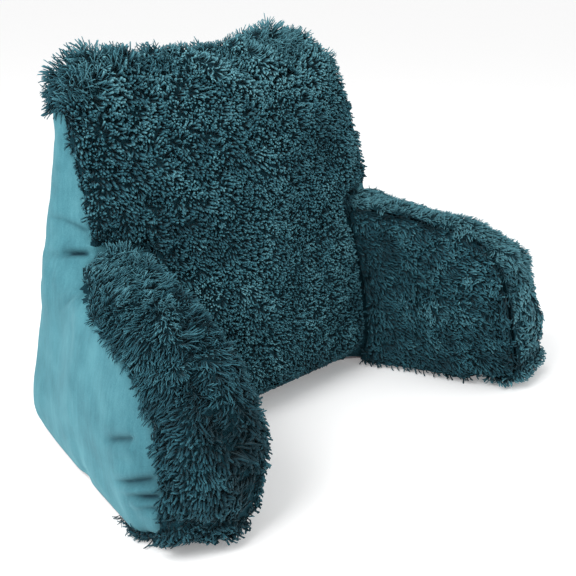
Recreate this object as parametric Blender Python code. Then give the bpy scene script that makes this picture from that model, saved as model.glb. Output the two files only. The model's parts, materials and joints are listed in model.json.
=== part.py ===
"""Reading pillow: a filled wedge backrest and two filled arms, with long-pile fur panels sewn over the front."""

import math

import bmesh
import bpy
import numpy as np
from mathutils import Vector, noise

# Main sizes, in metres. The pillow faces -Y and its base lies on Z = 0.
HEIGHT = 0.428
BACK_HALF_TOP = 0.226
BACK_HALF_BASE = 0.246
BACK_CORNER = 0.046
REAR_FOOT = 0.062
ARM_LENGTH = 0.368
ARM_WIDTH = 0.100
ARM_SPLAY = math.radians(18.5)
OUTER_SPLAY = math.radians(16.0)
OUTER_FRONT = -0.298
FLARE_FROM = 0.258
FLARE_FULL = 0.196
TUCK = 0.014
TUCK_HEIGHT = 0.045
SIDE_CROWN = 0.014
SIDE_ROUND = 0.060
FRONT_CROWN = 0.022
REAR_CROWN = 0.010
BAND_CROWN = 0.006
INNER_CROWN = 0.008
PILE = 0.019
PILE_RIM = 0.014
LUMP = 0.0024
SEW_GAP = 0.0009
JOIN_GAP = 0.0010

# Side profile of the backrest: y, z and how much of the crown shows there (front +, rear -).
BACK_OUTLINE = [
    # y, z, crown
    (-0.060, 0.000, 0.0),
    (-0.098, 0.001, 0.0),
    (-0.111, 0.010, 0.2),
    (-0.115, 0.034, 0.5),
    (-0.112, 0.066, 0.8),
    (-0.102, 0.120, 1.0),
    (-0.085, 0.190, 1.0),
    (-0.068, 0.250, 1.0),
    (-0.054, 0.300, 1.0),
    (-0.038, 0.345, 0.8),
    (-0.023, 0.385, 0.5),
    (-0.014, 0.413, 0.2),
    (-0.006, 0.428, 0.0),
    (0.002, 0.413, 0.0),
    (0.004, 0.388, 0.1),
    (0.009, 0.345, 0.5),
    (0.018, 0.297, 0.9),
    (0.028, 0.245, 1.0),
    (0.032, 0.195, 1.0),
    (0.044, 0.130, 0.9),
    (0.053, 0.060, 0.6),
    (0.056, 0.028, 0.3),
    (0.050, 0.005, 0.0),
    (0.036, 0.000, 0.0),
    (-0.010, 0.000, 0.0),
]
FRONT_ROWS = BACK_OUTLINE[3:13]
SIDE_ROWS = BACK_OUTLINE[8:23]

# Side profile of an arm from the backrest (0) to its front end (1), how much of the crown shows,
# and how much lower the outer seam runs than the inner one.
ARM_OUTLINE = [
    # along, z, crown, drop
    (0.00, 0.222, 0.6, 0.020),
    (0.16, 0.223, 1.0, 0.024),
    (0.33, 0.220, 1.0, 0.025),
    (0.50, 0.212, 1.0, 0.024),
    (0.66, 0.200, 1.0, 0.022),
    (0.79, 0.181, 1.0, 0.019),
    (0.89, 0.151, 1.0, 0.012),
    (0.955, 0.113, 1.0, 0.005),
    (0.99, 0.073, 1.0, 0.000),
    (1.00, 0.043, 0.7, 0.000),
    (0.975, 0.024, 0.3, 0.000),
    (0.915, 0.0175, 0.0, 0.000),
    (0.80, 0.0170, 0.0, 0.000),
    (0.745, 0.006, 0.0, 0.000),
    (0.700, 0.000, 0.0, 0.000),
    (0.52, 0.000, 0.0, 0.000),
    (0.34, 0.000, 0.0, 0.000),
    (0.17, 0.000, 0.0, 0.000),
    (0.00, 0.000, 0.0, 0.000),
    (0.00, 0.034, 0.0, 0.000),
    (0.00, 0.066, 0.0, 0.000),
    (0.00, 0.120, 0.0, 0.000),
    (0.00, 0.190, 0.0, 0.000),
]
BAND_LAST = 12
OUTER_OUTLINE = [(row[0], row[1] - row[3]) for row in ARM_OUTLINE]

# Soft dents in the velour side, drawn towards the corner where the arm's top meets the backrest.
DENTS = [
    # y and z of both ends, depth, half width
    (-0.062, 0.243, 0.038, 0.222, 0.0050, 0.010),
    (-0.060, 0.212, 0.010, 0.172, 0.0045, 0.011),
    (-0.250, 0.075, -0.185, 0.070, 0.0030, 0.011),
]

# Surface: name, base colour, roughness.
SURFACES = {
    "velour": ((0.145, 0.380, 0.455), 0.85),
    "fur": ((0.018, 0.070, 0.095), 0.95),
}


def clear_scene():
    """Remove the default objects."""
    for item in list(bpy.data.objects):
        bpy.data.objects.remove(item, do_unlink=True)


def smooth(low, high, value):
    """Ease from 0 at low to 1 at high."""
    t = min(max((value - low) / (high - low), 0.0), 1.0)
    return t * t * (3.0 - 2.0 * t)


def distance_to_line(y, z, y0, z0, y1, z1):
    """Distance from a point to a straight piece, in the side view."""
    along_y = y1 - y0
    along_z = z1 - z0
    span = along_y * along_y + along_z * along_z
    t = 0.0 if span == 0 else ((y - y0) * along_y + (z - z0) * along_z) / span
    t = min(max(t, 0.0), 1.0)
    return math.hypot(y - y0 - t * along_y, z - z0 - t * along_z)


def seam_distance(y, z, outline):
    """Distance from a point to the nearest seam of a panel."""
    count = len(outline)
    best = 1.0
    for i in range(count):
        start = outline[i]
        end = outline[(i + 1) % count]
        best = min(best, distance_to_line(y, z, start[0], start[1], end[0], end[1]))
    return best


def puff(distance, height, reach):
    """Crown of a filled panel: nothing at the seam, full height a reach away."""
    t = min(distance / reach, 1.0)
    return height * (1.0 - (1.0 - t) ** 2.6)


def tuck(z):
    """How far a wall draws in towards the base."""
    return TUCK * max(1.0 - z / TUCK_HEIGHT, 0.0) ** 2


def plain_half(z):
    """Half width of the backrest above the arms, with its rounded top corners."""
    half = BACK_HALF_BASE + (BACK_HALF_TOP - BACK_HALF_BASE) * z / HEIGHT
    drop = z - (HEIGHT - BACK_CORNER)
    if drop > 0.0:
        half -= BACK_CORNER - math.sqrt(max(BACK_CORNER ** 2 - drop ** 2, 0.0))
    return half


def half_width(y, z):
    """Half width at the side seam, flaring out into the arms low down."""
    flare = 1.0 - smooth(FLARE_FULL, FLARE_FROM, z)
    return plain_half(z) + flare * max(REAR_FOOT - y, 0.0) * math.tan(OUTER_SPLAY) - tuck(z)


def front_y(z):
    """Y of the backrest's front at a height, without the crown."""
    return float(np.interp(z, [row[1] for row in FRONT_ROWS], [row[0] for row in FRONT_ROWS]))


def crown_share(x, z):
    """Share of the crown at a width: all of it in the middle, none at the seams."""
    across = min(abs(x) / plain_half(z), 1.0)
    return (1.0 - across * across) ** 1.6


def front_crown(x, z):
    """How far the middle of the front stands out."""
    share = float(np.interp(z, [row[1] for row in FRONT_ROWS], [row[2] for row in FRONT_ROWS]))
    return FRONT_CROWN * share * crown_share(x, z)


def back_row_point(across, index):
    """Point of the backrest's skin on one row of its outline, across from -1 to 1."""
    y, z, share = BACK_OUTLINE[index % len(BACK_OUTLINE)]
    x = across * half_width(y, z)
    crown = share * crown_share(x, z)
    if index > 12:
        return Vector((x, y + REAR_CROWN * crown, z))
    return Vector((x, y - FRONT_CROWN * crown, z))


def back_point(across, row):
    """Point of the backrest's skin between two rows of its outline."""
    index = int(math.floor(row))
    return back_row_point(across, index).lerp(back_row_point(across, index + 1), row - index)


def arm_rear(x, z):
    """Y where an arm starts, just clear of the backrest's front."""
    y = front_y(z)
    return y - front_crown(x, z) - JOIN_GAP


def outer_base(along, z):
    """Seam line of the arm's outer wall (right arm, no crown)."""
    x = half_width(front_y(z), z)
    start = arm_rear(x, z)
    y = start + (OUTER_FRONT - start) * along
    return Vector((half_width(y, z), y, z))


def inner_base(along, z):
    """Seam line of the arm's inner wall (right arm, no crown)."""
    sine = math.sin(ARM_SPLAY)
    cosine = math.cos(ARM_SPLAY)
    reach = 0.15
    for _ in range(6):
        x = BACK_HALF_BASE + reach * sine - ARM_WIDTH * cosine
        reach = (REAR_FOOT - ARM_WIDTH * sine - arm_rear(x, z)) / cosine
    s = reach + (ARM_LENGTH - reach) * along
    width = ARM_WIDTH - 0.6 * tuck(z) * min(along * 4.0, 1.0)
    x = BACK_HALF_BASE + s * sine - width * cosine
    return Vector((x, REAR_FOOT - s * cosine - width * sine, z))


def side_seams():
    """Outline of the velour side in the side view: round the backrest, then along the arm."""
    back = [(row[0], row[1]) for row in SIDE_ROWS]
    corner = [(front_y(0.250), 0.250)]
    arm = [(outer_base(along, z).y, z) for along, z in OUTER_OUTLINE[:15]]
    return arm[::-1] + corner + back


def side_point(y, z, seams):
    """Point of the velour side wall (right side), with its crown and dents."""
    x = half_width(y, z) + puff(seam_distance(y, z, seams), SIDE_CROWN, SIDE_ROUND)
    for y0, z0, y1, z1, depth, width in DENTS:
        x -= depth * math.exp(-(distance_to_line(y, z, y0, z0, y1, z1) / width) ** 2)
    return Vector((x, y, z))


def shrink(rows, share):
    """Outline scaled towards its middle."""
    middle = np.mean([(row[0], row[1]) for row in rows], axis=0)
    return [tuple(middle + (np.array(row[:2]) - middle) * share) for row in rows]


def closed_loft(start, rings, end):
    """Closed mesh from a start point, through equal rings, to an end point."""
    mesh = bmesh.new()
    first = mesh.verts.new(start)
    loops = [[mesh.verts.new(point) for point in ring] for ring in rings]
    last = mesh.verts.new(end)
    count = len(loops[0])
    for i in range(count):
        after = (i + 1) % count
        mesh.faces.new((first, loops[0][after], loops[0][i]))
        for lower, upper in zip(loops, loops[1:]):
            mesh.faces.new((lower[i], lower[after], upper[after], upper[i]))
        mesh.faces.new((last, loops[-1][i], loops[-1][after]))
    bmesh.ops.recalc_face_normals(mesh, faces=mesh.faces)
    return mesh


def closed_slab(inner, outer):
    """Closed mesh between two equal grids; returns it with the wall faces of each of its four rims."""
    mesh = bmesh.new()
    low = [[mesh.verts.new(point) for point in row] for row in inner]
    top = [[mesh.verts.new(point) for point in row] for row in outer]
    rows = len(low)
    columns = len(low[0])
    skin = {}
    for i in range(rows - 1):
        for j in range(columns - 1):
            mesh.faces.new((low[i][j], low[i + 1][j], low[i + 1][j + 1], low[i][j + 1]))
            skin[i, j] = mesh.faces.new((top[i][j], top[i][j + 1], top[i + 1][j + 1], top[i + 1][j]))
    rims = {"first": [], "last": [], "left": [], "right": []}
    for j in range(columns - 1):
        rims["first"].append(mesh.faces.new((low[0][j], low[0][j + 1], top[0][j + 1], top[0][j])))
        rims["last"].append(mesh.faces.new((low[-1][j + 1], low[-1][j], top[-1][j], top[-1][j + 1])))
    for i in range(rows - 1):
        rims["left"].append(mesh.faces.new((low[i + 1][0], low[i][0], top[i][0], top[i + 1][0])))
        rims["right"].append(mesh.faces.new((low[i][-1], low[i + 1][-1], top[i + 1][-1], top[i][-1])))
    bmesh.ops.recalc_face_normals(mesh, faces=mesh.faces)
    return mesh, rims, skin


def grow_locks(mesh, faces, length, lift, seed):
    """Grow one tapered lock of four sides from each face, its root fused into the slab."""
    rng = np.random.default_rng(seed)
    for face in faces:
        bmesh.ops.inset_individual(mesh, faces=[face], thickness=0.0042, use_even_offset=False)
        middle = face.calc_center_median()
        aim = face.normal + Vector(lift) + Vector(rng.normal(0.0, 0.10, 3))
        aim.normalize()
        reach = length * rng.uniform(0.7, 1.25)
        tip = middle + aim * reach + Vector((0.0, 0.0, -0.12 * reach))
        made = bmesh.ops.extrude_discrete_faces(mesh, faces=[face])["faces"][0]
        for vert in made.verts:
            spread = (vert.co - middle) * 0.62
            vert.co = middle + aim * reach * 0.5 + spread
        made.normal_update()
        point = bmesh.ops.extrude_discrete_faces(mesh, faces=[made])["faces"][0]
        bmesh.ops.pointmerge(mesh, verts=list(point.verts), merge_co=tip)


def add_node(name, mesh, surface, collection, mirror=False):
    """Make one named object with its own material."""
    if mirror:
        for vert in mesh.verts:
            vert.co.x = -vert.co.x
    if mesh.calc_volume(signed=True) < 0.0:
        bmesh.ops.reverse_faces(mesh, faces=mesh.faces)
    bmesh.ops.triangulate(mesh, faces=mesh.faces)
    data = bpy.data.meshes.new(name)
    mesh.to_mesh(data)
    mesh.free()
    item = bpy.data.objects.new(name, data)
    collection.objects.link(item)
    colour, roughness = SURFACES[surface]
    material = bpy.data.materials.new(f"{name}_{surface}")
    material.use_nodes = True
    shader = material.node_tree.nodes["Principled BSDF"]
    shader.inputs["Base Color"].default_value = (*colour, 1.0)
    shader.inputs["Roughness"].default_value = roughness
    data.materials.append(material)
    return item


def lump(point):
    """Uneven height of the pile."""
    return LUMP * (noise.noise(point * 42.0) + 0.6 * noise.noise(point * 90.0))


def backrest():
    """Filled wedge: crowned side caps joined by the front, top, rear and base."""
    seams = side_seams()
    shares = [0.22, 0.42, 0.60, 0.75, 0.87, 0.95]
    right = []
    for share in shares:
        right.append([side_point(y, z, seams) for y, z in shrink(BACK_OUTLINE, share)])
    middle = shrink(BACK_OUTLINE, 0.0)[0]
    right_middle = side_point(middle[0], middle[1], seams)
    flip = Vector((-1.0, 1.0, 1.0))
    rings = [[point * flip for point in ring] for ring in right]
    for across in np.linspace(-1.0, 1.0, 21):
        rings.append([back_point(across, row) for row in range(len(BACK_OUTLINE))])
    rings += right[::-1]
    return closed_loft(right_middle * flip, rings, right_middle)


def arm_between(across, index):
    """Point of the arm's skin between its outer seam (0) and inner seam (1), before the crown."""
    along, z, _, drop = ARM_OUTLINE[index]
    point = outer_base(along, z - drop).lerp(inner_base(along, z), across)
    start = outer_base(0.0, z - drop).lerp(inner_base(0.0, z), across)
    point.y += (arm_rear(start.x, start.z) - start.y) * (1.0 - along) ** 2
    return point


def outline_normal(rows, index):
    """Outward direction of the arm's outline, in the side view."""
    before = rows[index - 1]
    after = rows[(index + 1) % len(rows)]
    length = 0.2
    direction = Vector(((after[0] - before[0]) * length, after[1] - before[1]))
    if direction.length < 1e-9:
        return Vector((0.0, 1.0))
    direction.normalize()
    return Vector((-direction.y, direction.x))


def band_point(across, index, lift):
    """Point on or above the arm's top and front, with the crown of the band."""
    share = ARM_OUTLINE[index][2]
    point = arm_between(across, index)
    out = outline_normal(ARM_OUTLINE, index)
    if index == 0:
        out = Vector((0.0, 1.0))
    sine = math.sin(ARM_SPLAY)
    cosine = math.cos(ARM_SPLAY)
    normal = Vector((out.x * sine, -out.x * cosine, out.y))
    crown = BAND_CROWN * share * (1.0 - (2.0 * across - 1.0) ** 2)
    return point + normal * (crown + lift)


def inner_point(along, z, lift):
    """Point on or in front of the arm's inner wall, with its crown."""
    rows = [(row[0] * 0.2, row[1]) for row in ARM_OUTLINE[:19]]
    crown = puff(seam_distance(along * 0.2, z, rows), INNER_CROWN, 0.05)
    normal = Vector((-math.cos(ARM_SPLAY), -math.sin(ARM_SPLAY), 0.0))
    point = inner_base(along, z) + normal * (crown + lift)
    limit = arm_rear(point.x, z)
    if point.y > limit:
        point.y = limit
    return point


def arm():
    """Filled right arm: outer velour cap, band round the outline, inner cap."""
    seams = side_seams()
    centre = shrink(ARM_OUTLINE, 0.0)[0]
    rings = []
    for share in (0.25, 0.48, 0.68, 0.84, 0.94):
        ring = []
        for along, z in shrink(OUTER_OUTLINE, share):
            ring.append(side_point(outer_base(along, z).y, z, seams))
        rings.append(ring)
    for across in (0.0, 0.12, 0.30, 0.50, 0.70, 0.88, 1.0):
        ring = []
        for index, row in enumerate(ARM_OUTLINE):
            ring.append(band_point(across, index, 0.0) if row[2] > 0.0 else arm_between(across, index))
        rings.append(ring)
    for share in (0.90, 0.70, 0.45, 0.22):
        rings.append([inner_point(along, z, 0.0) for along, z in shrink(ARM_OUTLINE, share)])
    outer_centre = shrink(OUTER_OUTLINE, 0.0)[0]
    start = side_point(outer_base(outer_centre[0], outer_centre[1]).y, outer_centre[1], seams)
    return closed_loft(start, rings, inner_point(centre[0], centre[1], 0.0))


def front_panel():
    """Fur over the backrest's front and top, narrower between the arms."""
    low_rows = [2.0, 2.5, 3.0, 3.5, 4.0, 4.34, 4.67, 5.0, 5.34, 5.67, 6.0, 6.31, 6.62, 6.92]
    top_rows = [7.03, 7.35, 7.68, 8.0, 8.34, 8.67, 9.0, 9.5, 10.0, 10.5, 11.0, 11.5, 12.0, 12.5, 13.0, 13.5, 14.0]
    inner = []
    outer = []
    for row in low_rows + top_rows:
        edge = back_point(1.0, row)
        if row in low_rows:
            width = inner_point(0.0, min(edge.z, 0.215), 0.0).x - PILE / math.cos(ARM_SPLAY) - 0.0030
            limit = width / half_width(edge.y, edge.z)
        else:
            limit = 1.0
        inner_row = []
        outer_row = []
        for across in np.linspace(-limit, limit, 19):
            point = back_point(across, row)
            ahead = back_point(across, row + 0.25)
            behind = back_point(across, row - 0.25)
            near = back_point(across * 0.98 - 0.01, row)
            far = back_point(across * 0.98 + 0.01, row)
            normal = (far - near).cross(ahead - behind).normalized()
            share = abs(across) / limit
            depth = PILE + lump(point) * 1.6
            flare = Vector((0.0, 0.0, 0.0))
            if limit == 1.0:
                depth = depth + (PILE_RIM - depth) * smooth(0.80, 1.0, share)
                flare.x = math.copysign(0.008 * smooth(0.70, 1.0, share), across)
            if row < 4.0:
                depth *= 0.40 + 0.30 * (row - 2.0)
            if row > 13.0:
                depth *= 1.0 - 0.35 * (row - 13.0)
            raised = point + normal * SEW_GAP
            top = point + normal * depth + flare
            raised.z = max(raised.z, 0.0012)
            top.z = max(top.z, 0.0)
            inner_row.append(raised)
            outer_row.append(top)
        inner.append(inner_row)
        outer.append(outer_row)
    mesh, rims, skin = closed_slab(inner, outer)
    first = len(low_rows) + 1
    for side, lean in (("left", -0.3), ("right", 0.3)):
        grow_locks(mesh, rims[side][first:-3], 0.020, (lean, -0.25, 0.05), 11)
    crest = [skin[i, j] for i in range(len(inner) - 6, len(inner) - 2) for j in range(0, 18, 1)]
    grow_locks(mesh, crest[::2], 0.021, (0.0, -0.1, 0.45), 12)
    return mesh


def band():
    """Fur over the right arm's top and front end, turned under its front."""
    inner = []
    outer = []
    shares = np.linspace(0.0, 1.0, 8)
    sine = math.sin(ARM_SPLAY)
    cosine = math.cos(ARM_SPLAY)
    for index in range(BAND_LAST + 1):
        inner_row = []
        outer_row = []
        for across in shares:
            edge = smooth(0.70, 1.0, abs(2.0 * across - 1.0))
            base = band_point(across, index, SEW_GAP)
            depth = PILE + lump(base) * 1.6 * (1.0 - edge)
            depth = depth + (PILE_RIM - depth) * edge
            if index >= BAND_LAST - 1:
                depth = min(depth, 0.0150)
            depth += 0.011 * (1.0 - across) * (1.0 - smooth(0.0, 0.45, ARM_OUTLINE[index][0]))
            top = band_point(across, index, depth)
            side = edge * (-0.0125 if across > 0.5 else 0.009)
            top += Vector((cosine, sine, 0.0)) * side
            if across == 0.0 and 0 < index < BAND_LAST - 3:
                top = top.lerp(base, 0.25)
            top.z = max(top.z, 0.0)
            if index == 0:
                limit = arm_rear(top.x, top.z)
                base.y = min(base.y, arm_rear(base.x, base.z))
                top.y = min(top.y, limit)
            inner_row.append(base)
            outer_row.append(top)
        inner.append(inner_row)
        outer.append(outer_row)
    mesh, rims, skin = closed_slab(inner, outer)
    grow_locks(mesh, rims["left"][1:-2], 0.017, (0.35, 0.0, 0.15), 21)
    crest = [skin[i, j] for i in range(1, 9, 2) for j in (1, 3, 5)]
    grow_locks(mesh, crest, 0.011, (0.10, -0.35, 0.10), 22)
    return mesh


def inner_panel():
    """Fur panel on the right arm's lap side."""
    count = len(ARM_OUTLINE)
    centre = shrink(ARM_OUTLINE, 0.0)[0]
    shares = (0.28, 0.52, 0.74, 0.90, 0.97)
    rings = []
    tops = []
    for share in shares:
        base_ring = []
        top_ring = []
        for index, (along, z) in enumerate(shrink(ARM_OUTLINE, share)):
            lift = SEW_GAP
            base = inner_point(along, z, lift)
            depth = PILE + lump(base) * 1.6 * (1.0 - smooth(0.7, 0.97, share))
            depth = depth + (PILE_RIM - depth) * smooth(0.74, 0.97, share)
            top = inner_point(along, z, depth)
            if share > 0.95:
                out = outline_normal(ARM_OUTLINE, index)
                if index == 0:
                    out = Vector((0.0, 1.0))
                reach = 0.0105 if index <= 10 else 0.0
                sine = math.sin(ARM_SPLAY)
                cosine = math.cos(ARM_SPLAY)
                top += Vector((out.x * sine, -out.x * cosine, out.y)) * reach
                top.y = min(top.y, arm_rear(top.x, top.z) - 0.0002)
            base.z = max(base.z, 0.0008)
            top.z = max(top.z, 0.0)
            base_ring.append(base)
            top_ring.append(top)
        rings.append(base_ring)
        tops.append(top_ring)
    base_middle = inner_point(centre[0], centre[1], SEW_GAP)
    top_middle = inner_point(centre[0], centre[1], PILE)
    assert count == len(rings[0])
    return closed_loft(base_middle, rings + tops[::-1], top_middle)


def centre_on_floor(items):
    """Put the middle of the base at the origin."""
    points = np.array([vert.co for item in items for vert in item.data.vertices])
    low = points.min(axis=0)
    high = points.max(axis=0)
    shift = Vector(((low[0] + high[0]) / 2.0, (low[1] + high[1]) / 2.0, low[2]))
    for item in items:
        for vert in item.data.vertices:
            vert.co -= shift


def main():
    """Build every piece."""
    clear_scene()
    collection = bpy.data.collections.new("reading_pillow")
    bpy.context.scene.collection.children.link(collection)
    items = [add_node("backrest", backrest(), "velour", collection)]
    items.append(add_node("fur_front_panel", front_panel(), "fur", collection))
    for side, mirror in (("right", False), ("left", True)):
        items.append(add_node(f"arm_{side}", arm(), "velour", collection, mirror))
        items.append(add_node(f"fur_band_{side}", band(), "fur", collection, mirror))
        items.append(add_node(f"fur_inner_{side}", inner_panel(), "fur", collection, mirror))
    centre_on_floor(items)
    for item in items:
        print(item.name, len(item.data.polygons), [round(v, 4) for v in item.dimensions])
    print("triangles", sum(len(item.data.polygons) for item in items))


main()
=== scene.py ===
import json
import math

import bmesh
import bpy
import numpy as np
from mathutils import Matrix, Vector, noise
from mathutils.bvhtree import BVHTree

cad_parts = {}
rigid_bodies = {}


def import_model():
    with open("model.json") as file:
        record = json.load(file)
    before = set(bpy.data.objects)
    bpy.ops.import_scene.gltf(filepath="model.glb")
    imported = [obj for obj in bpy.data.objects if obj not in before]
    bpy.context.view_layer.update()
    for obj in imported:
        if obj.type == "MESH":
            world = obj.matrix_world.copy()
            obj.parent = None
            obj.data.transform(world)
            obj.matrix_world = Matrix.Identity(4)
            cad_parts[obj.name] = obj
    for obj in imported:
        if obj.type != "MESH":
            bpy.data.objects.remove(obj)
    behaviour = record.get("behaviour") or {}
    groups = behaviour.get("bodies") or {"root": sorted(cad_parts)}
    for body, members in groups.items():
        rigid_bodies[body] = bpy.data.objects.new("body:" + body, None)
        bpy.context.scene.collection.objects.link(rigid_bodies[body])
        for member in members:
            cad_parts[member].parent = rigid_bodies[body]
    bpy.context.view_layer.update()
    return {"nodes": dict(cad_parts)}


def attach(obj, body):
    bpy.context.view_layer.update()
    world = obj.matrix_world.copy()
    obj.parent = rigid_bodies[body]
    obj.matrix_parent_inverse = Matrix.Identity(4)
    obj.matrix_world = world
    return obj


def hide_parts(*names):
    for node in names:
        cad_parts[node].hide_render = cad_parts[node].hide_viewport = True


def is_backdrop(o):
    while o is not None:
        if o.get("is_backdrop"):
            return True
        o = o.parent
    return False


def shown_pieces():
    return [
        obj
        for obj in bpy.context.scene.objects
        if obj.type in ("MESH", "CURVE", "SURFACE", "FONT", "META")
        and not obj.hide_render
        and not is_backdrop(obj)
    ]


for startup in list(bpy.data.objects):  # the empty file's own cube, lamp and camera
    bpy.data.objects.remove(startup)

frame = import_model()
nodes = frame["nodes"]
scene = bpy.context.scene
print("reading pillow: frame loaded")


def clamp(value, low=0.0, high=1.0):
    return max(low, min(high, value))


def ramp(value, start, stop):
    t = clamp((value - start) / (stop - start))
    return t * t * (3.0 - 2.0 * t)


def mergedMesh(names, label):
    # the CAD nodes' loose triangles as one mesh with shared corners
    build = bmesh.new()
    for name in names:
        build.from_mesh(nodes[name].data)
    bmesh.ops.remove_doubles(build, verts=build.verts, dist=1e-5)
    mesh = bpy.data.meshes.new(label)
    build.to_mesh(mesh)
    build.free()
    return mesh


def mergedCopy(names, label):
    piece = bpy.data.objects.new(label, mergedMesh(names, label))
    scene.collection.objects.link(piece)
    return piece


def treeOf(*names):
    # for measuring how far a point lies from these nodes
    mesh = mergedMesh(names, "measure")
    tree = BVHTree.FromPolygons([v.co.copy() for v in mesh.vertices],
                                [tuple(p.vertices) for p in mesh.polygons])
    bpy.data.meshes.remove(mesh)
    return tree


def settle(piece):
    # the evaluated result becomes the piece's own plain mesh
    bpy.context.view_layer.update()
    graph = bpy.context.evaluated_depsgraph_get()
    made = bpy.data.meshes.new_from_object(piece.evaluated_get(graph), preserve_all_data_layers=True,
                                           depsgraph=graph)
    piece.modifiers.clear()
    old = piece.data
    piece.data = made
    bpy.data.meshes.remove(old)


def voxelSkin(piece, size):
    skin = piece.modifiers.new("skin", "REMESH")
    skin.mode = "VOXEL"
    skin.voxel_size = size
    settle(piece)


def keepNumbers(mesh, label, values):
    mesh.attributes.new(label, "FLOAT", "POINT").data.foreach_set("value", values)


def bell(value, spread, middle=0.0):
    # 1 at the middle, falling to nothing on both sides
    return math.exp(-(((value - middle) / spread) ** 2))


def toLine(p, points):
    # shortest distance from p to a line through points, and how far along it from 0 to 1
    best, at = 9.0, 0.0
    for i, (a, b) in enumerate(zip(points, points[1:])):
        span = b - a
        t = clamp((p - a).dot(span) / span.length_squared)
        d = (p - a - span * t).length
        if d < best:
            best, at = d, (i + t) / (len(points) - 1)
    return best, at


def mirrored(points):
    return [Vector((-p[0], p[1], p[2])) for p in points]


# The stuffed form settles a little away from its pattern: every piece follows the same soft pull.

armStart = (0.235, 0.05)  # the right arm's middle line seen from above: x and y where it leaves the back
armStop = (0.305, -0.19)  # and at its front end

formPlan = {
    "tuckHeight": 0.060,  # the foot is drawn in or let out below this
    "outerTuck": -0.006,
    "rightEndSpread": 0.010,
    "leftEndTuck": 0.026,
    "lapFoot": 0.016,
    "footCorner": (0.012, 0.05),  # how far, and up to what height
    "frontTuck": 0.032,
    "rearTuck": 0.010,
    "endTuck": (0.030, -0.008),  # left and right arm
    "innerBulge": (0.030, 0.10, 0.080),  # how far, at what height and over what height
    "endDrawIn": 0.011,
    "hips": (0.014, 0.15, 0.08),
    "ears": ((0.010, 0.125, 0.075), (0.007, -0.20, 0.05)),  # how high, and where and how wide across the top
    "topSpread": 0.004,
    "rightTop": (-0.005, 0.004),  # lower along the arm, higher at its front
}


def smoothArray(value, start, stop):
    t = np.clip((value - start) / (stop - start), 0.0, 1.0)
    return t * t * (3.0 - 2.0 * t)


def bellArray(value, spread, middle):
    return np.exp(-(((value - middle) / spread) ** 2))


def settleForm(mesh):
    plan = formPlan
    flat = np.zeros(len(mesh.vertices) * 3, np.float32)
    mesh.vertices.foreach_get("co", flat)
    p = flat.reshape(-1, 3).astype(np.float64)
    x, y, z = p[:, 0].copy(), p[:, 1].copy(), p[:, 2].copy()
    left, right = x < 0.0, x > 0.0
    wide = np.abs(x)
    along = armStart[1] - y
    lean = (armStop[0] - armStart[0]) / (armStart[1] - armStop[1])
    out = (wide - armStart[0] - along * lean) / math.hypot(1.0, lean)
    armShare = smoothArray(along, -0.03, 0.05) * smoothArray(wide, 0.15, 0.19)
    inside = np.clip(-out / 0.05, 0.0, 1.0) * armShare
    lap = (1.0 - smoothArray(wide, 0.165, 0.20)) * (1.0 - smoothArray(y, 0.04, 0.11))

    # the foot
    low = np.clip(1.0 - z / plan["tuckHeight"], 0.0, 1.0) ** 2.0
    outerTuck = plan["outerTuck"] - plan["rightEndSpread"] * smoothArray(along, 0.10, 0.18) * right
    outerTuck = outerTuck + plan["leftEndTuck"] * smoothArray(along, 0.15, 0.22) * left
    dx = -outerTuck * low * smoothArray(wide, 0.20, 0.30) * np.clip((out + 0.02) / 0.05, 0.0, 1.0)
    dx -= plan["lapFoot"] * low * inside
    reach, height = plan["footCorner"]
    corner = smoothArray(along, 0.14, 0.22) * smoothArray(out, 0.0, 0.04) * left
    dx -= reach * np.clip(1.0 - z / height, 0.0, 1.0) * corner
    leftEnd, rightEnd = plan["endTuck"]
    endTuck = np.where(right, rightEnd, leftEnd * np.clip((out + 0.02) / 0.04, 0.0, 1.0))
    dy = plan["frontTuck"] * low * lap
    dy += low * smoothArray(along, 0.14, 0.24) * endTuck
    dy -= plan["rearTuck"] * low * smoothArray(y, 0.10, 0.19)

    # the arms' inner sides, their front ends and the hips of the back
    reach, height, spread = plan["innerBulge"]
    dx -= reach * bellArray(z, spread, height) * inside * smoothArray(along, 0.06, 0.18)
    end = smoothArray(out, 0.005, 0.05) * smoothArray(along, 0.12, 0.22) * smoothArray(z, 0.01, 0.08)
    rightLevel = 1.9 * (1.0 - smoothArray(z, 0.11, 0.16)) - 0.6 * smoothArray(z, 0.14, 0.18)
    drawIn = plan["endDrawIn"] * end * np.where(right, rightLevel, 1.0)
    dx -= drawIn
    dy += drawIn
    reach, height, spread = plan["hips"]
    dx -= reach * smoothArray(y, 0.03, 0.10) * smoothArray(wide, 0.22, 0.28) * bellArray(z, spread, height)

    # the top edge and the top of the right arm
    high = smoothArray(z, 0.385, 0.44)
    dx += high * plan["topSpread"] * smoothArray(wide, 0.16, 0.24)
    dz = high * sum(rise * bellArray(x, spread, place) for rise, place, spread in plan["ears"])
    behind, front = plan["rightTop"]
    rightArm = armShare * right
    dz += behind * rightArm * smoothArray(z, 0.12, 0.20) * (1.0 - smoothArray(along, 0.10, 0.16))
    dz += front * rightArm * smoothArray(z, 0.10, 0.16) * smoothArray(along, 0.13, 0.19)

    p[:, 0] += dx * np.where(left, -1.0, 1.0)
    p[:, 1] += dy
    p[:, 2] = np.maximum(p[:, 2] + dz, 0.0)
    mesh.vertices.foreach_set("co", p.astype(np.float32).ravel())
    mesh.update()


# Materials. The group puts out mottle and grain values, the shaders stay in each material.

def node(tree, kind, x, y, **settings):
    made = tree.nodes.new(kind)
    made.location = (x, y)
    for key, value in settings.items():
        setattr(made, key, value)
    return made


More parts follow.
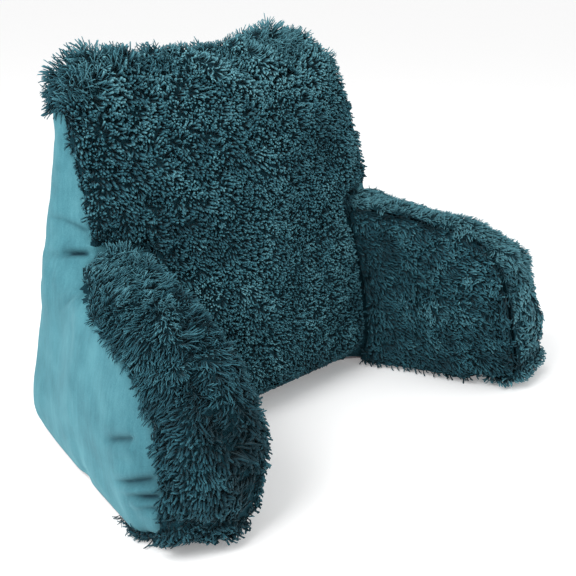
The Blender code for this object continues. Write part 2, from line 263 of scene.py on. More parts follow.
def mottleGroup():
    # soft patches and fine grain, from 0 to 1, on object coordinates
    tree = bpy.data.node_groups.new("clothMottle", "ShaderNodeTree")
    for label, start in (("Patch Size", 0.06), ("Grain Size", 0.0012), ("Grain Share", 0.3)):
        made = tree.interface.new_socket(label, in_out="INPUT", socket_type="NodeSocketFloat")
        made.default_value = start
    tree.interface.new_socket("Mottle", in_out="OUTPUT", socket_type="NodeSocketFloat")
    tree.interface.new_socket("Grain", in_out="OUTPUT", socket_type="NodeSocketFloat")
    come = node(tree, "NodeGroupInput", -900, 0)
    leave = node(tree, "NodeGroupOutput", 500, 0)
    place = node(tree, "ShaderNodeTexCoord", -900, -300)
    link = tree.links.new
    found = []
    for row, label in enumerate(("Patch Size", "Grain Size")):
        scale = node(tree, "ShaderNodeMath", -650, -200 * row, operation="DIVIDE")
        scale.inputs[0].default_value = 1.0
        link(come.outputs[label], scale.inputs[1])
        cloud = node(tree, "ShaderNodeTexNoise", -400, -200 * row)
        cloud.inputs["Detail"].default_value = 3.0
        link(place.outputs["Object"], cloud.inputs["Vector"])
        link(scale.outputs[0], cloud.inputs["Scale"])
        found.append(cloud.outputs["Fac"])
    both = node(tree, "ShaderNodeMix", 100, 0)
    link(come.outputs["Grain Share"], both.inputs[0])
    link(found[0], both.inputs[2])
    link(found[1], both.inputs[3])
    link(both.outputs[0], leave.inputs["Mottle"])
    link(found[1], leave.inputs["Grain"])
    return tree


mottle = mottleGroup()


def useMottle(tree, x, y, patch, grain, share):
    used = node(tree, "ShaderNodeGroup", x, y, node_tree=mottle)
    used.inputs["Patch Size"].default_value = patch
    used.inputs["Grain Size"].default_value = grain
    used.inputs["Grain Share"].default_value = share
    return used


def colourRamp(tree, x, y, stops):
    made = node(tree, "ShaderNodeValToRGB", x, y)
    band = made.color_ramp
    while len(band.elements) < len(stops):
        band.elements.new(0.5)
    for stop, (at, colour) in zip(band.elements, stops):
        stop.position = at
        stop.color = (*colour, 1.0)
    return made


def grainBump(tree, shader, speck, strength, distance):
    rough = node(tree, "ShaderNodeBump", 200, -300)
    rough.inputs["Strength"].default_value = strength
    rough.inputs["Distance"].default_value = distance
    tree.links.new(speck.outputs["Grain"], rough.inputs["Height"])
    tree.links.new(rough.outputs[0], shader.inputs["Normal"])


def freshMaterial(label):
    material = bpy.data.materials.new(label)
    material.use_nodes = True
    tree = material.node_tree
    tree.nodes.clear()
    finish = node(tree, "ShaderNodeOutputMaterial", 900, 0)
    shader = node(tree, "ShaderNodeBsdfPrincipled", 600, 0)
    tree.links.new(shader.outputs[0], finish.inputs[0])
    return material, tree, shader


velourLook = {
    "dark": (0.030, 0.128, 0.162),
    "mid": (0.052, 0.190, 0.232),
    "light": (0.086, 0.262, 0.308),
    "roughness": 0.80,
    "sheen": 0.20,
    "patch": 0.040,
    "grain": 0.0011,
    "streaks": (210.0, 210.0, 26.0),  # the nap is brushed downward, in faint streaks
    # the colour of the painted shade in the creases, along the fur's edge and low on the arms
    "paintedShadeColour": (0.02, 0.13, 0.17),
}


def makeVelour():
    material, tree, shader = freshMaterial("velour")
    link = tree.links.new
    speck = useMottle(tree, -700, 0, velourLook["patch"], velourLook["grain"], 0.40)
    place = node(tree, "ShaderNodeTexCoord", -1300, -250)
    drawn = node(tree, "ShaderNodeMapping", -1100, -250)
    drawn.inputs["Scale"].default_value = velourLook["streaks"]
    link(place.outputs["Object"], drawn.inputs["Vector"])
    streak = node(tree, "ShaderNodeTexNoise", -900, -250)
    streak.inputs["Scale"].default_value = 1.0
    streak.inputs["Detail"].default_value = 2.0
    link(drawn.outputs[0], streak.inputs["Vector"])
    nap = node(tree, "ShaderNodeMix", -550, 0)
    nap.inputs[0].default_value = 0.20
    link(speck.outputs["Mottle"], nap.inputs[2])
    link(streak.outputs["Fac"], nap.inputs[3])
    tint = colourRamp(tree, -350, 0, ((0.32, velourLook["dark"]), (0.50, velourLook["mid"]),
                                      (0.68, velourLook["light"])))
    link(nap.outputs[0], tint.inputs["Fac"])
    # the crease attribute is painted shade: it darkens the nap in the creases, along the fur's edge and low on
    # the arms
    shade = node(tree, "ShaderNodeAttribute", -400, -350, attribute_name="crease")
    dim = node(tree, "ShaderNodeMix", 200, 0, data_type="RGBA", blend_type="MULTIPLY")
    dim.inputs[7].default_value = (*velourLook["paintedShadeColour"], 1.0)
    link(shade.outputs["Fac"], dim.inputs[0])
    link(tint.outputs[0], dim.inputs[6])
    link(dim.outputs[2], shader.inputs["Base Color"])
    grainBump(tree, shader, speck, 0.40, 0.0006)
    shader.inputs["Roughness"].default_value = velourLook["roughness"]
    shader.inputs["Sheen Weight"].default_value = velourLook["sheen"]
    shader.inputs["Sheen Roughness"].default_value = 0.45
    shader.inputs["Sheen Tint"].default_value = (0.35, 0.75, 0.85, 1.0)
    shader.inputs["Specular IOR Level"].default_value = 0.25
    return material


furLook = {
    "deep": (0.003, 0.020, 0.028),
    "low": (0.013, 0.062, 0.083),
    "mid": (0.034, 0.122, 0.153),
    "high": (0.110, 0.270, 0.312),
    "roughness": 0.70,
    "sheen": 0.10,
}


def makePile():
    # each lock carries its tint, the pile's tone with painted light and shade, across the map, and runs from
    # root to tip up it, painted shade at the root and a painted highlight at the tip
    material, tree, shader = freshMaterial("furPile")
    link = tree.links.new
    place = node(tree, "ShaderNodeUVMap", -900, 0, uv_map="OFBake")
    parts = node(tree, "ShaderNodeSeparateXYZ", -700, 0)
    link(place.outputs[0], parts.inputs[0])
    tint = colourRamp(tree, -450, 100, ((0.0, furLook["deep"]), (0.35, furLook["low"]),
                                        (0.62, furLook["mid"]), (1.0, furLook["high"])))
    link(parts.outputs[0], tint.inputs["Fac"])
    # painted shade at the root rising to a painted highlight at the tip
    rise = colourRamp(tree, -450, -200, ((0.0, (0.04, 0.05, 0.06)), (0.45, (0.26, 0.36, 0.40)),
                                         (0.85, (0.94, 1.07, 1.10)), (1.0, (1.85, 1.68, 1.60))))
    link(parts.outputs[1], rise.inputs["Fac"])
    both = node(tree, "ShaderNodeMix", 100, 0, data_type="RGBA", blend_type="MULTIPLY")
    both.inputs[0].default_value = 1.0
    link(tint.outputs[0], both.inputs[6])
    link(rise.outputs[0], both.inputs[7])
    link(both.outputs[2], shader.inputs["Base Color"])
    shader.inputs["Roughness"].default_value = furLook["roughness"]
    shader.inputs["Sheen Weight"].default_value = furLook["sheen"]
    shader.inputs["Sheen Roughness"].default_value = 0.5
    shader.inputs["Sheen Tint"].default_value = (0.45, 0.75, 0.85, 1.0)
    shader.inputs["Specular IOR Level"].default_value = 0.15
    return material


baseLook = {
    "mottle": (0.02, 0.0009, 0.6),  # size of the patches and of the grain, and the grain's share
    "dark": (0.100, 0.092, 0.100),
    "light": (0.210, 0.185, 0.195),
    "bump": (0.5, 0.0005),
    "shader": ("Sheen Weight", 0.1),
}

# the backing's near-black is partly the knit's own colour and partly painted shade, for the deep gaps between
# locks
backingLook = {
    "mottle": (0.012, 0.0016, 0.6),
    "dark": (0.002, 0.010, 0.015),
    "light": furLook["low"],
    "bump": (0.8, 0.002),
    "shader": ("Specular IOR Level", 0.1),  # bare spots read as deep shade
}


def makeGround(label, look):
    # plain mottled cloth, for what hardly shows
    material, tree, shader = freshMaterial(label)
    speck = useMottle(tree, -700, 0, *look["mottle"])
    tint = colourRamp(tree, -400, 0, ((0.3, look["dark"]), (0.7, look["light"])))
    tree.links.new(speck.outputs["Mottle"], tint.inputs["Fac"])
    tree.links.new(tint.outputs[0], shader.inputs["Base Color"])
    grainBump(tree, shader, speck, *look["bump"])
    shader.inputs["Roughness"].default_value = 0.9
    shader.inputs[look["shader"][0]].default_value = look["shader"][1]
    return material


velour = makeVelour()
furPile = makePile()
baseCloth = makeGround("baseCloth", baseLook)
furBacking = makeGround("furBacking", backingLook)
print("reading pillow: materials made")


# The velour cover: one sewn bag over the back cushion and both arms.

coverPlan = {
    "voxel": 0.008,
    "pressure": 4.0,
    "frames": 20,
    "swellCap": 0.008,
    "startSmaller": 0.003,
    "armOverlap": 0.004,
    "heldNearFur": 0.006,
    # within this of the fur the cover takes the dark backing: out of sight under the pile, and a thin band of
    # painted shade in the seams beside it
    "darkNearFur": 0.0035,
    "lapSide": (0.215, 0.078, 0.32),  # half width, rear limit and height of what the sitter leans on
    "baseTop": 0.0095,
}

# creases as points on the left side, from the rear to the fur, with width, depth and how dark their painted
# shade is
sideCreases = (
    (((-0.250, 0.178, 0.220), (-0.257, 0.112, 0.235), (-0.252, 0.100, 0.238),
      (-0.239, 0.060, 0.243)), 0.0042, 0.0065, 1.0),
    (((-0.285, 0.100, 0.175), (-0.277, 0.052, 0.212), (-0.276, 0.022, 0.233)), 0.0046, 0.0060, 0.90),
    (((-0.243, 0.150, 0.270), (-0.246, 0.114, 0.272), (-0.235, 0.070, 0.262)), 0.0050, 0.0025, 0.45),
    (((-0.326, -0.052, 0.092), (-0.336, -0.079, 0.105), (-0.342, -0.110, 0.116)), 0.0060, 0.0050, 0.60),
    (((-0.334, -0.070, 0.057), (-0.344, -0.109, 0.071), (-0.352, -0.165, 0.092)), 0.0046, 0.0060, 0.95),
    (((-0.340, -0.082, 0.046), (-0.346, -0.115, 0.058), (-0.350, -0.165, 0.072)), 0.0042, 0.0055, 0.90),
    (((-0.345, -0.105, 0.038), (-0.349, -0.132, 0.052), (-0.350, -0.160, 0.060)), 0.0040, 0.0040, 0.75),
)


def armAxis(p):
    # how far outward of the arm's middle line a point lies, seen from above
    side = -1.0 if p.x < 0.0 else 1.0
    start = Vector((armStart[0] * side, armStart[1]))
    stop = Vector((armStop[0] * side, armStop[1]))
    along = (stop - start).normalized()
    across = Vector((-along.y, along.x))
    if across.x * side < 0.0:
        across = -across
    return (Vector((p.x, p.y)) - start).dot(across), across, along


def trimmed(p):
    # the band ends on the arm's shoulder, so the velour runs on past it there
    past = armAxis(p)[0] - 0.032 - 0.775 * max(0.027 - p.y, 0.0)
    return ramp(past, -0.002, 0.004) * ramp(p.y, -0.02, 0.0) * ramp(p.z, 0.10, 0.15)


def buildCover():
    cover = mergedCopy(["backrest", "arm_left", "arm_right"], "velourCover")
    middle = treeOf("backrest")
    for v in cover.data.vertices:  # the arms' ends sink into the back, so the skin closes over them
        if abs(v.co.x) > 0.15 and v.co.y < 0.075:
            spot, _, _, far = middle.find_nearest(v.co)
            if 0.0001 < far < coverPlan["armOverlap"]:
                v.co += (spot - v.co).normalized() * (far + coverPlan["armOverlap"])
    voxelSkin(cover, coverPlan["voxel"])
    mesh = cover.data
    fur = treeOf("fur_front_panel", "fur_band_left", "fur_band_right", "fur_inner_left", "fur_inner_right")
    start = [v.co.copy() for v in mesh.vertices]
    held = cover.vertex_groups.new(name="held")
    for v in mesh.vertices:
        far = fur.find_nearest(v.co)[3]
        hold = max(1.0 - ramp(far, coverPlan["heldNearFur"], 0.03), 1.0 - ramp(v.co.z, 0.003, 0.02))
        held.add([v.index], hold, "REPLACE")
        v.co -= v.normal * coverPlan["startSmaller"] * (1.0 - hold)
    swell = cover.modifiers.new("swell", "CLOTH")
    swell.settings.use_pressure = True
    swell.settings.uniform_pressure_force = coverPlan["pressure"]
    swell.settings.effector_weights.gravity = 0.0
    swell.settings.vertex_group_mass = "held"
    swell.settings.quality = 4
    swell.collision_settings.use_collision = False
    swell.collision_settings.use_self_collision = False
    for now in range(1, coverPlan["frames"] + 1):
        scene.frame_set(now)
    settle(cover)
    scene.frame_set(1)
    mesh = cover.data
    cap = coverPlan["swellCap"]
    for v, was in zip(mesh.vertices, start):
        move = v.co - was
        if move.length > cap:
            v.co = was + move * (cap / move.length)
        v.co.z = max(v.co.z, 0.0)
    cover.vertex_groups.clear()
    smoother = cover.modifiers.new("smoother", "SUBSURF")
    smoother.levels = smoother.render_levels = 1
    settle(cover)
    refineCreases(cover.data)
    creaseCover(cover.data, fur)
    cover.data.materials.clear()
    for cloth in (velour, furBacking, baseCloth):
        cover.data.materials.append(cloth)
    for face in cover.data.polygons:
        face.use_smooth = True
        # faces under the pile and a thin band beside it take the dark backing, the band as painted shade in the
        # seams
        face.material_index = 1 if underPile(face.center, fur) else 0
        if face.center.z < coverPlan["baseTop"]:
            face.material_index = 2
    unsettled = cover.data.copy()
    settleForm(cover.data)
    return cover, unsettled


def underPile(spot, fur):
    wide, rear, high = coverPlan["lapSide"]
    if cornerShare(spot) > 0.3 or (abs(spot.x) < wide and spot.y < rear and spot.z < high):
        return True
    if trimmed(spot) > 0.4 and abs(spot.x) > 0.25:
        return False
    return fur.find_nearest(spot)[3] < coverPlan["darkNearFur"]


def cornerShare(p):
    # where the shag folds on to the velour: over the top corners, under the foot and at the shoulder
    edge = 0.388 + 0.10 * (0.115 - p.y) + 0.006 * noise.noise(p * 40.0)
    top = ramp(p.z, edge - 0.004, edge + 0.004) * ramp(abs(p.x), 0.15, 0.18)
    rim = 0.008 + 0.012 * ramp(-p.y, 0.07, 0.15) + 0.005 * noise.noise(p * 50.0)
    foot = (1.0 - ramp(p.z, rim - 0.003, rim + 0.003)) * ramp(-p.y, 0.05, 0.08) * ramp(abs(p.x), 0.29, 0.31)
    shoulder = ramp(0.212 - abs(p.x), 0.0, 0.006) * ramp(abs(p.x), 0.150, 0.156)
    shoulder *= ramp(0.076 - p.y, 0.0, 0.006) * ramp(p.z, 0.222, 0.230) * (1.0 - ramp(p.z, 0.258, 0.266))
    return max(top, foot, shoulder)


def creaseLines():
    lines = []
    for points, width, depth, dark in sideCreases:
        lines.append(([Vector(p) for p in points], width, depth, dark))
        lines.append((mirrored(points), width, depth, dark))
    return lines


def refineCreases(mesh):
    # smaller faces where the cloth is drawn into a crease
    build = bmesh.new()
    build.from_mesh(mesh)
    picked = set()
    for points, width, depth, dark in creaseLines():
        for face in build.faces:
            spot = face.calc_center_median()
            if abs(spot.x - points[0].x) < 0.10 and toLine(spot, points)[0] < width * 2.2:
                picked.update(face.edges)
    bmesh.ops.subdivide_edges(build, edges=list(picked), cuts=3, use_grid_fill=True, smooth=0.6)
    build.to_mesh(mesh)
    build.free()


def creaseCover(mesh, fur):
    lines = creaseLines()
    normals = [v.normal.copy() for v in mesh.vertices]
    shades = np.zeros(len(mesh.vertices), np.float32)
    for v, n in zip(mesh.vertices, normals):
        p = v.co.copy()
        if p.z < 0.002:
            continue
        push = (noise.noise(p * 28.0) * 0.0016 + noise.noise(p * 11.0) * 0.0022) * ramp(p.z, 0.004, 0.04)
        for points, width, depth, look in lines:
            if abs(p.x - points[0].x) > 0.12:
                continue
            far, at = toLine(p, points)
            if far < width * 3.5:
                fade = ramp(at, -0.10, 0.60) * (1.0 - 0.6 * ramp(at, 0.90, 1.0))  # deepest near the fur
                push -= depth * fade * bell(far, 0.65 * width)
                push += depth * 0.35 * fade * bell(far, width, width * 2.0)
                # painted shade along the crease: a narrow dark core and a wider soft edge
                line = bell(far, 0.42 * width) + 0.30 * bell(far, 1.4 * width)
                shades[v.index] = max(shades[v.index], min(1.0, look * fade * line))
        v.co += n * push
        v.co.z = max(v.co.z, 0.0)
        if abs(p.x) > 0.20:  # painted shade on the nap along the fur's edge and low on the arms
            rim = 0.34 * bell(fur.find_nearest(p)[3], 0.012) * ramp(0.02 - p.y, 0.0, 0.10)
            foot = 0.20 * ramp(-p.y, 0.0, 0.14) * (0.6 + noise.noise(p * 22.0))
            shades[v.index] = min(1.0, shades[v.index] + rim + max(foot, 0.0))
    # the painted shade is kept in the crease attribute
    keepNumbers(mesh, "crease", shades)


cover, cornerMesh = buildCover()
print("reading pillow: velour cover made,", len(cover.data.polygons), "faces")


# The fur: a knitted backing under each panel, dark with painted shade, and locks grown on it.

coreTree = treeOf("backrest", "arm_left", "arm_right")

furPlan = {
    "voxel": 0.0070,
    "pileDepth": 0.0100,  # how far the backing lies under the CAD surface
    "leastBacking": 0.0030,
    "trimmedBacking": -0.0040,
}

# three kinds of lock: long strands that clump, blunt stubs of matted pile, and curls that bend over; rise gives
# each ring's painted shade, darkest at the root, up to a painted highlight at the tip
lockPlans = {
    "strand": {"radius": 0.00062, "rings": ((0.0, 0.75), (0.48, 1.05), (0.88, 0.90)), "bend": (0.10, 0.44),
               "rise": (0.22, 0.62, 0.86, 0.94)},
    "stub": {"radius": 0.00125, "rings": ((0.0, 0.55), (0.64, 0.92), (0.90, 1.00)), "bend": (0.02, 0.26),
             "rise": (0.0, 0.64, 0.90, 1.0)},
    "curl": {"radius": 0.00118, "rings": ((0.0, 0.55), (0.60, 1.00), (0.94, 1.02)), "bend": (0.26, 0.50),
             "rise": (0.0, 0.66, 0.90, 1.0)},
}
lockLength = 0.0160
lockShapes = 6
lockPoints = 10  # three rings of three and the tip
lockSeed = 40
pileSeed = 11
noise.seed_set(pileSeed)  # noise_vector would start from the clock otherwise

seamLeft = [Vector(p) for p in ((-0.200, 0.025, 0.232), (-0.222, -0.055, 0.228), (-0.262, -0.122, 0.208),
                                (-0.272, -0.139, 0.195), (-0.280, -0.158, 0.183), (-0.285, -0.170, 0.166),
                                (-0.280, -0.177, 0.148), (-0.276, -0.184, 0.128), (-0.269, -0.190, 0.104),
                                (-0.268, -0.193, 0.083), (-0.262, -0.190, 0.025))]
seamRight = [Vector(p) for p in ((0.187, 0.020, 0.229), (0.203, -0.012, 0.231), (0.208, -0.047, 0.223),
                                 (0.216, -0.068, 0.219), (0.241, -0.121, 0.200), (0.250, -0.146, 0.188),
                                 (0.257, -0.158, 0.158), (0.259, -0.172, 0.138), (0.262, -0.180, 0.104),
                                 (0.256, -0.186, 0.062), (0.250, -0.186, 0.015))]


def near(p, spot, size):
    return bell((p - spot).length, size)


# tufts that stand out at the corners: place, size, extra length
tufts = (
    (Vector((-0.225, 0.125, 0.440)), 0.055, 0.0170),
    (Vector((-0.150, 0.150, 0.452)), 0.035, 0.0050),
    (Vector((0.110, 0.140, 0.456)), 0.060, 0.0110),
    (Vector((0.225, 0.125, 0.430)), 0.040, 0.0040),
)
hollows = (
    (Vector((-0.218, 0.062, 0.262)), 0.020, 1.0),
    (Vector((-0.157, 0.054, 0.287)), 0.020, 0.9),
    (Vector((0.150, 0.045, 0.300)), 0.024, 0.5),
    (Vector((0.050, 0.035, 0.200)), 0.026, 0.5),
)
# raised folds across the top of the back, with height and width, each with a painted highlight on top and a
# painted shaded side below
ridges = (
    ([Vector(p) for p in ((-0.080, 0.140, 0.449), (-0.045, 0.112, 0.432), (-0.022, 0.103, 0.420),
                          (0.003, 0.096, 0.404), (0.035, 0.084, 0.385))], 0.0140, 0.011),
    ([Vector(p) for p in ((0.010, 0.125, 0.452), (0.040, 0.118, 0.440), (0.065, 0.103, 0.420),
                          (0.080, 0.098, 0.405))], 0.0120, 0.010),
    ([Vector(p) for p in ((0.060, 0.125, 0.452), (0.105, 0.129, 0.444), (0.150, 0.120, 0.437))], 0.0110, 0.010),
)


shadeShift = Vector((0.010, -0.004, 0.016))  # from a fold's top to its shaded side, backwards


def combFront(p, n):
    side = 1.0 if p.x > 0.0 else -1.0
    edge = ramp(abs(p.x), 0.19, 0.245) if p.z > 0.21 else ramp(abs(p.x), 0.15, 0.185)
    top = ramp(p.z, 0.39, 0.44)
    comb = Vector((0.0, -0.1, -1.0)) * 0.20 * (1.0 - top)
    outward = 0.5 if side < 0.0 else (0.15 if p.z > 0.21 else 0.6)
    comb += Vector((side * edge * outward, 0.05 * edge, -0.25 * edge))
    comb += noise.noise_vector(p * 11.0) * 0.30
    loosened = ramp(-p.x, -0.10, 0.20) * ramp(p.z, 0.20, 0.36)
    fine = ramp(p.x, -0.12, 0.08) * (1.0 - ramp(p.z, 0.20, 0.38))
    reach = 0.0090 + 0.0012 * loosened - 0.0012 * fine - 0.0008 * edge
    reach -= 0.0042 * ramp(abs(n.x), 0.55, 0.9) * (1.0 - ramp(p.z, 0.37, 0.42))
    reach *= 0.6 + 0.4 * ramp(p.z, 0.005, 0.035)
    loose = 0.21 + 0.10 * top + 0.10 * loosened
    for spot, size, extra in tufts:
        share = near(p, spot, size)
        reach += extra * share
        comb *= 1.0 - 0.7 * share
        comb += Vector((side * 0.35, 0.0, 0.10)) * share
    # painted light on the top of the back; the noise below is the pile's own tone
    tone = 0.54 + 0.17 * ramp(p.z, 0.34, 0.44) + 0.10 * ramp(p.z, 0.38, 0.43) * ramp(p.x, 0.0, 0.06)
    tone += 0.20 * noise.noise(p * 14.0) + 0.20 * noise.noise(p * 38.0)
    # painted shade along the bottom and low on the right beside the arm
    tone -= 0.20 * (1.0 - ramp(p.z, 0.01, 0.075)) + 0.12 * ramp(p.x, 0.12, 0.18) * (1.0 - ramp(p.z, 0.05, 0.16))
    # painted shade in the hollows
    for spot, size, share in hollows:
        tone -= 0.30 * share * near(p, spot, size)
        reach -= 0.0030 * share * near(p, spot, size)
    # a painted highlight along each fold and painted shade on its side below
    for points, height, width in ridges:
        far, at = toLine(p, points)
        tone += 0.32 * bell(far, width)
        far, at = toLine(p + shadeShift, points)
        tone -= 0.42 * bell(far, width)
    return comb, reach, loose, tone


def seamGap(p):
    # the sewn line between band and inner panel: wide and darkened with painted shade in places, bridged by
    # stray locks in others
    line, shift = (seamLeft, 0.012) if p.x < 0.0 else (seamRight, -0.003)
    far, at = toLine(p + Vector((shift, 0.0, 0.0)), line)
    wide = 0.0100 + 0.0090 * noise.noise(p * 30.0)
    stray = ramp(noise.noise(p * 48.0), 0.22, 0.40) * bell(far, 0.011)
    return far, bell(far, max(wide, 0.002)), stray


def endFold(p):
    # the deep fold across the front end of each arm
    return p.z - 0.040 - 0.005 * math.sin(abs(p.x) * 40.0)


def flatWay(way):
    return Vector((way.x, way.y, 0.0))


def combBand(p, n):
    left = p.x < 0.0
    out, across, along = armAxis(p)
    outer = ramp(out, -0.02, 0.05)
    rear = ramp(p.y, -0.06, 0.0)
    far, gap, stray = seamGap(p)
    plain = 1.0 - stray
    sweep = flatWay(across) * outer * (0.60 - 1.20 * rear)
    sweep += flatWay(along) * 0.25
    sweep += Vector((0.0, 0.0, -0.38))
    comb = sweep * (1.0 - 0.6 * gap) + noise.noise_vector(p * 11.0) * 0.35
    comb -= flatWay(across) * 0.9 * stray
    comb += flatWay(across) * 0.4 * bell(far, 0.012) * plain
    reach = 0.0118 + 0.0010 * ramp(out, 0.02, 0.06) * (1.0 - rear) - 0.0035 * outer * rear
    reach -= 0.0022 * (1.0 - ramp(p.z, 0.10, 0.16))
    reach = (reach + 0.0120 * stray) * (1.0 - 0.50 * bell(far, 0.009) * plain)
    # painted light higher up and where the band faces up, painted shade in the seam gap; the noise is the
    # pile's own tone
    tone = 0.35 + 0.06 * ramp(p.z, 0.14, 0.20) + 0.14 * noise.noise(p * 14.0) + 0.22 * noise.noise(p * 36.0)
    tone += 0.55 * stray - 0.62 * gap + 0.20 * ramp(n.z, 0.3, 0.9)
    if left:  # painted shade, darkest halfway down its front
        tone += 0.10 * ramp(p.z, 0.20, 0.23) - 0.12 * bell(p.z, 0.050, 0.150)
    else:  # painted light: the far arm stands in the light
        tone += 0.46
        reach -= 0.0022 * ramp(p.z, 0.12, 0.20) + 0.0015 + 0.0025 * bell(p.z, 0.045, 0.10)
    if p.y < -0.12:
        fold = endFold(p)
        # painted shade in the fold
        tone -= 0.60 * bell(fold, 0.007)
        reach -= 0.0085 * bell(fold, 0.012, 0.004)
        comb *= 1.0 - 0.7 * bell(fold, 0.012)
    # painted shade along the bottom
    tone -= 0.12 * (1.0 - ramp(p.z, 0.0, 0.02))
    return comb, max(reach, 0.0035), 0.22, tone


def combInner(p, n):
    across, along = armAxis(p)[1:]
    comb = flatWay(along) * 0.45 + Vector((0.0, 0.0, -0.20)) + noise.noise_vector(p * 11.0) * 0.22
    far, gap, stray = seamGap(p)
    plain = 1.0 - stray
    # painted shade in the seam gap, along the bottom and toward the back; the noise is the pile's own tone
    tone = 0.44 + 0.14 * noise.noise(p * 14.0) + 0.40 * noise.noise(p * 44.0) - 0.55 * gap + 0.30 * stray
    tone -= 0.16 * (1.0 - ramp(p.z, 0.0, 0.06)) + 0.22 * ramp(p.y, -0.03, 0.045)
    comb -= flatWay(across) * 0.4 * bell(far, 0.014) * plain
    reach = (0.0100 + 0.0008 * ramp(-p.y, 0.08, 0.16)) * (0.6 + 0.4 * ramp(p.z, 0.005, 0.035))
    reach += 0.0015 * ramp(p.y, 0.01, 0.04) + 0.0070 * stray
    reach *= 1.0 - 0.50 * bell(far, 0.009) * plain
    return comb, max(reach, 0.0042), 0.26, tone


def moldBacking(p, panel):
    # how far the backing rises or sinks from the pattern
    rise = 0.0
    if panel["comb"] is combFront:
        for points, height, width in ridges:
            far, at = toLine(p, points)
            fade = math.sin(math.pi * clamp(at * 0.8 + 0.1))
            rise += height * fade * bell(far, width)
            far, at = toLine(p + shadeShift, points)
            rise -= height * 0.8 * fade * bell(far, width)
        for spot, size, share in hollows:
            rise -= 0.0050 * share * near(p, spot, size)
        rise += 0.0045 * noise.noise(p * 15.0) + 0.0016 * noise.noise(p * 42.0)
    else:
        rise -= 0.0075 * seamGap(p)[1]
        if p.y < -0.12 and panel["comb"] is combBand:
            rise -= 0.0090 * bell(endFold(p), 0.008)
            rise += 0.0040 * bell(endFold(p), 0.012, -0.020)
        rise += 0.0022 * noise.noise(p * 20.0) + 0.0014 * noise.noise(p * 48.0)
    return rise


panels = (
    {"label": "Front", "node": "fur_front_panel", "comb": combFront, "zones": 4},
    {"label": "BandLeft", "node": "fur_band_left", "comb": combBand, "zones": 2},
    {"label": "BandRight", "node": "fur_band_right", "comb": combBand, "zones": 2},
    {"label": "InnerLeft", "node": "fur_inner_left", "comb": combInner, "zones": 1},
    {"label": "InnerRight", "node": "fur_inner_right", "comb": combInner, "zones": 1},
)


def zoneShares(p, n, zones):
    # the front panel's pile runs from loose tufts at the upper left to a fine matted knit at the lower right
    if zones == 1:
        return [1.0]
    if zones == 2:  # the arms' bands: strands above, matted pile low on the front end
        low = 1.0 - ramp(p.z + 0.02 * noise.noise(p * 25.0), 0.125, 0.155)
        return [1.0 - low, low]
    s = -p.x / 0.25 * 0.9 + (p.z - 0.25) / 0.2 * 0.9 + noise.noise(p * 9.0) * 0.5
    loose = ramp(s, 0.20, 0.50)
    fine = 1.0 - ramp(s, -0.60, -0.25)
    spiky = ramp(max(near(p, spot, size * 1.1) for spot, size, extra in tufts), 0.38, 0.60)
    spiky = max(spiky, ramp(n.z, 0.35, 0.75) * ramp(p.z, 0.40, 0.43))  # the top rim is combed too
    return [loose * (1.0 - spiky), (1.0 - loose - fine) * (1.0 - spiky), fine * (1.0 - spiky), spiky]


def buildBacking(panel):
    backing = mergedCopy([panel["node"]], "furBacking" + panel["label"])
    voxelSkin(backing, furPlan["voxel"])
    mesh = backing.data
    count = len(mesh.vertices)
    comb = np.zeros((count, 3), np.float32)
    reach = np.zeros(count, np.float32)
    loose = np.zeros(count, np.float32)
    tone = np.zeros(count, np.float32)
    cover = np.zeros((panel["zones"], count), np.float32)
    normals = [v.normal.copy() for v in mesh.vertices]
    for v, n in zip(mesh.vertices, normals):
        p = v.co.copy()
        spot, _, _, far = coreTree.find_nearest(p)
        if far > 0.002:
            away = (p - spot) / far
            outside = ramp(n.dot(away), -0.1, 0.4) * ramp(far, 0.003, 0.006)
            grown = ramp(n.dot(away), -0.6, -0.1) * ramp(far, 0.0015, 0.004)
            if panel["comb"] is combBand:
                grown *= 1.0 - trimmed(p)
            if panel["comb"] is not combFront:
                seamFar, _, stray = seamGap(p)
                hole = 0.0034 + (0.0046 if p.x < 0.0 else 0.0030) * ramp(noise.noise(p * 34.0), -0.10, 0.20)
                grown *= 1.0 - 0.95 * (1.0 - stray) * bell(seamFar, hole)
                if p.y < -0.12 and panel["comb"] is combBand:
                    grown *= 1.0 - 0.92 * bell(endFold(p), 0.0045)
            sink = (furPlan["pileDepth"] - moldBacking(p, panel)) * outside
            least = furPlan["leastBacking"]
            if panel["comb"] is combBand and trimmed(p) > 0.1:  # out of sight under the velour
                sink, least = sink + 0.02 * trimmed(p), furPlan["trimmedBacking"]
            sink = min(sink, max(far - least, 0.0))
            v.co = p - away * sink
        else:
            grown = 0.0
        way, reach[v.index], loose[v.index], tone[v.index] = panel["comb"](p, n)
        comb[v.index] = way - n * way.dot(n)
        for z, share in enumerate(zoneShares(p, n, panel["zones"])):
            cover[z][v.index] = share * grown
        v.co.z = max(v.co.z, 0.001)
    mesh.attributes.new("comb", "FLOAT_VECTOR", "POINT").data.foreach_set("vector", comb.ravel())
    for label, values in (("reach", reach), ("loose", loose), ("tone", tone)):
        keepNumbers(mesh, label, values)
    for z in range(panel["zones"]):
        keepNumbers(mesh, "cover%d" % z, cover[z])
    for face in mesh.polygons:
        face.use_smooth = True
    mesh.materials.clear()
    mesh.materials.append(furBacking)
    return backing


